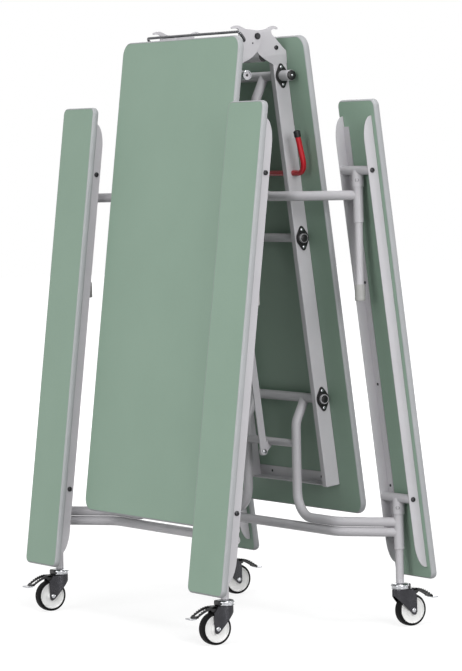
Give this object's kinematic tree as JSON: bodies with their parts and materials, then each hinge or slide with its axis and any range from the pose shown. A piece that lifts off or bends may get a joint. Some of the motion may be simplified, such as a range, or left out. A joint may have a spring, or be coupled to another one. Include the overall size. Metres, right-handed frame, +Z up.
{
  "type": "mobile folding table with benches",
  "caption": "Mobile table that folds at a middle hinge, with bench halves on linked leg frames, braked swivel castors and a lock lever; stored folded upright.",
  "frame": {"origin": "on the floor, at the middle of the bounding box", "axes": "+X along the opened table, -Y the front, +Z up; stored folded as in the picture"},
  "size_m": [0.8914, 1.279, 1.8723],
  "materials": {
    "laminate_green": "green laminate on board, satin",
    "edge_grey": "grey edge strip",
    "frame_grey": "light grey powder coat on steel",
    "black_plastic": "black moulded plastic",
    "tyre_black": "black solid tyre",
    "foot_grey": "grey moulded foot",
    "bright_zinc": "zinc-plated steel",
    "fork_chrome": "dark chrome-plated pressed steel",
    "chrome_rod": "bright plated rod",
    "red_coat": "red plastic-coated steel",
    "hub_grey": "pale grey moulded hub",
    "dark_bolt": "dark bolt"
  },
  "bodies": {
    "end_frame_right": {"end_frame_right": "frame_grey"},
    "table_right": {"table_board_right": "laminate_green", "table_edge_strip_right": "edge_grey", "table_rail_front_right": "frame_grey", "table_rail_rear_right": "frame_grey", "cross_angle_right": "frame_grey", "hinge_bolt_front": "dark_bolt", "hinge_bolt_rear": "dark_bolt", "hinge_cross_tube": "frame_grey"},
    "centre_frame_right": {"centre_frame_right": "frame_grey", "centre_foot_front_right": "foot_grey", "centre_foot_rear_right": "foot_grey"},
    "torsion_tube_right": {"torsion_tube_right": "frame_grey"},
    "link_bar_right": {"link_bar_right": "frame_grey"},
    "bench_front_right": {"bench_board_front_right": "laminate_green", "bench_edge_strip_front_right": "edge_grey", "bench_outer_rail_front_right": "frame_grey", "bench_inner_rail_front_right": "frame_grey"},
    "castor_fork_front_right": {"castor_fork_front_right": "fork_chrome"},
    "castor_wheel_front_right": {"castor_hub_front_right": "hub_grey", "castor_tyre_front_right": "tyre_black"},
    "castor_pedal_front_right": {"castor_pedal_front_right": "black_plastic"},
    "bench_rear_right": {"bench_board_rear_right": "laminate_green", "bench_edge_strip_rear_right": "edge_grey", "bench_outer_rail_rear_right": "frame_grey", "bench_inner_rail_rear_right": "frame_grey"},
    "castor_fork_rear_right": {"castor_fork_rear_right": "fork_chrome"},
    "castor_wheel_rear_right": {"castor_hub_rear_right": "hub_grey", "castor_tyre_rear_right": "tyre_black"},
    "castor_pedal_rear_right": {"castor_pedal_rear_right": "black_plastic"},
    "end_frame_left": {"end_frame_left": "frame_grey"},
    "table_left": {"table_board_left": "laminate_green", "table_edge_strip_left": "edge_grey", "table_rail_front_left": "frame_grey", "table_rail_rear_left": "frame_grey", "cross_angle_left": "frame_grey"},
    "centre_frame_left": {"centre_frame_left": "frame_grey", "centre_foot_front_left": "foot_grey", "centre_foot_rear_left": "foot_grey"},
    "torsion_tube_left": {"torsion_tube_left": "frame_grey"},
    "link_bar_left": {"link_bar_left": "frame_grey"},
    "bench_front_left": {"bench_board_front_left": "laminate_green", "bench_edge_strip_front_left": "edge_grey", "bench_outer_rail_front_left": "frame_grey", "bench_inner_rail_front_left": "frame_grey"},
    "castor_fork_front_left": {"castor_fork_front_left": "fork_chrome"},
    "castor_wheel_front_left": {"castor_hub_front_left": "hub_grey", "castor_tyre_front_left": "tyre_black"},
    "castor_pedal_front_left": {"castor_pedal_front_left": "black_plastic"},
    "bench_rear_left": {"bench_board_rear_left": "laminate_green", "bench_edge_strip_rear_left": "edge_grey", "bench_outer_rail_rear_left": "frame_grey", "bench_inner_rail_rear_left": "frame_grey"},
    "castor_fork_rear_left": {"castor_fork_rear_left": "fork_chrome"},
    "castor_wheel_rear_left": {"castor_hub_rear_left": "hub_grey", "castor_tyre_rear_left": "tyre_black"},
    "castor_pedal_rear_left": {"castor_pedal_rear_left": "black_plastic"},
    "lock_lever": {"lock_lever": "red_coat", "lock_lever_grip": "black_plastic"},
    "latch_bail": {"latch_bail": "chrome_rod"}
  },
  "joints": [
    {"name": "fold", "type": "hinge", "parent": "end_frame_right", "child": "table_right", "pos_m": [0.21773, 0, 0.6995], "axis": [0, -1, 0], "range_deg": [0, 82.97]},
    {"name": "table_left_hinge", "type": "hinge", "parent": "table_right", "child": "table_left", "pos_m": [0, 0, 1.83841], "axis": [0, 1, 0], "range_deg": [0, 166]},
    {"name": "end_frame_left_pivot", "type": "hinge", "parent": "table_left", "child": "end_frame_left", "pos_m": [-0.21773, 0, 0.6995], "axis": [0, -1, 0], "range_deg": [0, 83]},
    {"name": "centre_frame_right_pivot", "type": "hinge", "parent": "table_right", "child": "centre_frame_right", "pos_m": [0.0924, 0, 1.7158], "axis": [0, 1, 0], "range_deg": [0, 83]},
    {"name": "torsion_tube_right_pivot", "type": "hinge", "parent": "table_right", "child": "torsion_tube_right", "pos_m": [0.15506, 0, 1.20765], "axis": [0, 1, 0], "range_deg": [0, 83]},
    {"name": "link_bar_right_pivot", "type": "hinge", "parent": "end_frame_right", "child": "link_bar_right", "pos_m": [0.15173, 0, 0.5225], "axis": [0, -1, 0], "range_deg": [0, 83]},
    {"name": "bench_front_right_pivot", "type": "hinge", "parent": "end_frame_right", "child": "bench_front_right", "pos_m": [0.31473, -0.535, 0.401], "axis": [0, -1, 0], "range_deg": [0, 83]},
    {"name": "castor_front_right_swivel", "type": "hinge", "parent": "end_frame_right", "child": "castor_fork_front_right", "pos_m": [0.31473, -0.535, 0], "axis": [0, 0, 1], "continuous": true},
    {"name": "castor_front_right_wheel", "type": "hinge", "parent": "castor_fork_front_right", "child": "castor_wheel_front_right", "pos_m": [0.35123, -0.535, 0.05], "axis": [0, 1, 0], "continuous": true},
    {"name": "castor_front_right_brake", "type": "hinge", "parent": "castor_fork_front_right", "child": "castor_pedal_front_right", "pos_m": [0.35723, -0.535, 0.106], "axis": [0, 1, 0], "range_deg": [0, 12]},
    {"name": "bench_rear_right_pivot", "type": "hinge", "parent": "end_frame_right", "child": "bench_rear_right", "pos_m": [0.31473, 0.535, 0.401], "axis": [0, -1, 0], "range_deg": [0, 83]},
    {"name": "castor_rear_right_swivel", "type": "hinge", "parent": "end_frame_right", "child": "castor_fork_rear_right", "pos_m": [0.31473, 0.535, 0], "axis": [0, 0, 1], "continuous": true},
    {"name": "castor_rear_right_wheel", "type": "hinge", "parent": "castor_fork_rear_right", "child": "castor_wheel_rear_right", "pos_m": [0.35123, 0.535, 0.05], "axis": [0, 1, 0], "continuous": true},
    {"name": "castor_rear_right_brake", "type": "hinge", "parent": "castor_fork_rear_right", "child": "castor_pedal_rear_right", "pos_m": [0.35723, 0.535, 0.106], "axis": [0, 1, 0], "range_deg": [0, 12]},
    {"name": "centre_frame_left_pivot", "type": "hinge", "parent": "table_left", "child": "centre_frame_left", "pos_m": [-0.0924, 0, 1.7158], "axis": [0, -1, 0], "range_deg": [0, 83]},
    {"name": "torsion_tube_left_pivot", "type": "hinge", "parent": "table_left", "child": "torsion_tube_left", "pos_m": [-0.15506, 0, 1.20765], "axis": [0, -1, 0], "range_deg": [0, 83]},
    {"name": "link_bar_left_pivot", "type": "hinge", "parent": "end_frame_left", "child": "link_bar_left", "pos_m": [-0.15173, 0, 0.5225], "axis": [0, 1, 0], "range_deg": [0, 83]},
    {"name": "bench_front_left_pivot", "type": "hinge", "parent": "end_frame_left", "child": "bench_front_left", "pos_m": [-0.31473, -0.535, 0.401], "axis": [0, 1, 0], "range_deg": [0, 83]},
    {"name": "castor_front_left_swivel", "type": "hinge", "parent": "end_frame_left", "child": "castor_fork_front_left", "pos_m": [-0.31473, -0.535, 0], "axis": [0, 0, 1], "continuous": true},
    {"name": "castor_front_left_wheel", "type": "hinge", "parent": "castor_fork_front_left", "child": "castor_wheel_front_left", "pos_m": [-0.35123, -0.535, 0.05], "axis": [0, 1, 0], "continuous": true},
    {"name": "castor_front_left_brake", "type": "hinge", "parent": "castor_fork_front_left", "child": "castor_pedal_front_left", "pos_m": [-0.35723, -0.535, 0.106], "axis": [0, -1, 0], "range_deg": [0, 12]},
    {"name": "bench_rear_left_pivot", "type": "hinge", "parent": "end_frame_left", "child": "bench_rear_left", "pos_m": [-0.31473, 0.535, 0.401], "axis": [0, 1, 0], "range_deg": [0, 83]},
    {"name": "castor_rear_left_swivel", "type": "hinge", "parent": "end_frame_left", "child": "castor_fork_rear_left", "pos_m": [-0.31473, 0.535, 0], "axis": [0, 0, 1], "continuous": true},
    {"name": "castor_rear_left_wheel", "type": "hinge", "parent": "castor_fork_rear_left", "child": "castor_wheel_rear_left", "pos_m": [-0.35123, 0.535, 0.05], "axis": [0, 1, 0], "continuous": true},
    {"name": "castor_rear_left_brake", "type": "hinge", "parent": "castor_fork_rear_left", "child": "castor_pedal_rear_left", "pos_m": [-0.35723, 0.535, 0.106], "axis": [0, -1, 0], "range_deg": [0, 12]},
    {"name": "lock_lever_turn", "type": "hinge", "parent": "table_right", "child": "lock_lever", "pos_m": [0.12866, 0, 1.41195], "axis": [0, -1, 0], "range_deg": [0, 40]},
    {"name": "latch_bail_turn", "type": "hinge", "parent": "table_left", "child": "latch_bail", "pos_m": [-0.05998, 0, 1.82344], "axis": [0, -1, 0], "range_deg": [0, 25]}
  ],
  "couplings": [
    {"joint": "table_left_hinge", "follows": "fold", "ratio": 2},
    {"joint": "end_frame_left_pivot", "follows": "fold", "ratio": 1},
    {"joint": "centre_frame_right_pivot", "follows": "fold", "ratio": 1},
    {"joint": "torsion_tube_right_pivot", "follows": "fold", "ratio": 1},
    {"joint": "link_bar_right_pivot", "follows": "fold", "ratio": 1},
    {"joint": "bench_front_right_pivot", "follows": "fold", "ratio": 1},
    {"joint": "bench_rear_right_pivot", "follows": "fold", "ratio": 1},
    {"joint": "centre_frame_left_pivot", "follows": "fold", "ratio": 1},
    {"joint": "torsion_tube_left_pivot", "follows": "fold", "ratio": 1},
    {"joint": "link_bar_left_pivot", "follows": "fold", "ratio": 1},
    {"joint": "bench_front_left_pivot", "follows": "fold", "ratio": 1},
    {"joint": "bench_rear_left_pivot", "follows": "fold", "ratio": 1}
  ]
}
